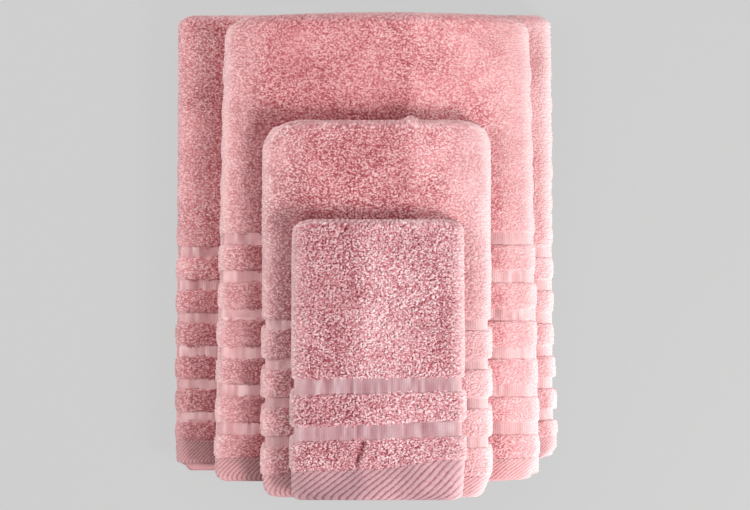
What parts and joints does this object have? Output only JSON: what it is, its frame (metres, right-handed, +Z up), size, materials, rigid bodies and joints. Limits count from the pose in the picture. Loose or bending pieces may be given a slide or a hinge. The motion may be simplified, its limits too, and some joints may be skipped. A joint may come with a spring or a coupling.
{
  "type": "folded bath towel set",
  "caption": "Stack of folded terry towels in graded sizes, with flat woven bands and corded hems; each lifts off and its top panel opens about its fold.",
  "frame": {"origin": "under the middle of the stack, on the surface that it lies on", "axes": "+Z up; +Y towards the top folds, so the hem ends are at -Y; +X to the right, seen from above with the folds away from the viewer"},
  "size_m": [0.382, 0.488, 0.09],
  "materials": {
    "terry": "deep cotton loop pile",
    "plain_weave": "flat plain-woven cotton with fine ribs",
    "corded_hem": "flat cotton with slanting cords",
    "sewing_thread": "matt sewing thread"
  },
  "bodies": {
    "sheet_lower": {"sheet_base_panel": "terry", "sheet_top_fold": "terry", "sheet_under_stripes": "terry", "sheet_under_bands": "plain_weave", "sheet_under_hem": "corded_hem", "sheet_under_thread": "sewing_thread", "sheet_bottom_fold": "terry", "sheet_inner_panel": "terry"},
    "sheet_upper": {"sheet_top_panel": "terry", "sheet_pile_stripes": "terry", "sheet_flat_bands": "plain_weave", "sheet_hem": "corded_hem", "sheet_hem_thread": "sewing_thread"},
    "bath_lower": {"bath_base_panel": "terry", "bath_top_fold": "terry", "bath_under_stripes": "terry", "bath_under_bands": "plain_weave", "bath_under_hem": "corded_hem", "bath_under_thread": "sewing_thread", "bath_bottom_fold": "terry", "bath_inner_panel": "terry"},
    "bath_upper": {"bath_top_panel": "terry", "bath_pile_stripes": "terry", "bath_flat_bands": "plain_weave", "bath_hem": "corded_hem", "bath_hem_thread": "sewing_thread"},
    "hand_lower": {"hand_base_panel": "terry", "hand_top_fold": "terry", "hand_under_stripes": "terry", "hand_under_bands": "plain_weave", "hand_under_hem": "corded_hem", "hand_under_thread": "sewing_thread"},
    "hand_upper": {"hand_top_panel": "terry", "hand_pile_stripes": "terry", "hand_flat_bands": "plain_weave", "hand_hem": "corded_hem", "hand_hem_thread": "sewing_thread"},
    "guest_lower": {"guest_base_panel": "terry", "guest_top_fold": "terry", "guest_under_stripes": "terry", "guest_under_bands": "plain_weave", "guest_under_hem": "corded_hem", "guest_under_thread": "sewing_thread"},
    "guest_upper": {"guest_top_panel": "terry", "guest_pile_stripes": "terry", "guest_flat_bands": "plain_weave", "guest_hem": "corded_hem", "guest_hem_thread": "sewing_thread"}
  },
  "joints": [
    {"name": "sheet_flap", "type": "hinge", "parent": "sheet_lower", "child": "sheet_upper", "pos_m": [0, 0.2295, 0.0135], "axis": [-1, 0, 0], "range_deg": [0, 30]},
    {"name": "bath_lift", "type": "slide", "parent": "sheet_upper", "child": "bath_lower", "axis": [0, 0, 1], "range_m": [0, 0.15]},
    {"name": "bath_flap", "type": "hinge", "parent": "bath_lower", "child": "bath_upper", "pos_m": [0, 0.2305, 0.0405], "axis": [-1, 0, 0], "range_deg": [0, 30]},
    {"name": "hand_lift", "type": "slide", "parent": "bath_upper", "child": "hand_lower", "axis": [0, 0, 1], "range_m": [0, 0.15]},
    {"name": "hand_flap", "type": "hinge", "parent": "hand_lower", "child": "hand_upper", "pos_m": [0, 0.1255, 0.063], "axis": [-1, 0, 0], "range_deg": [0, 30]},
    {"name": "guest_lift", "type": "slide", "parent": "hand_upper", "child": "guest_lower", "axis": [0, 0, 1], "range_m": [0, 0.15]},
    {"name": "guest_flap", "type": "hinge", "parent": "guest_lower", "child": "guest_upper", "pos_m": [0, 0.026, 0.081], "axis": [-1, 0, 0], "range_deg": [0, 165]}
  ]
}
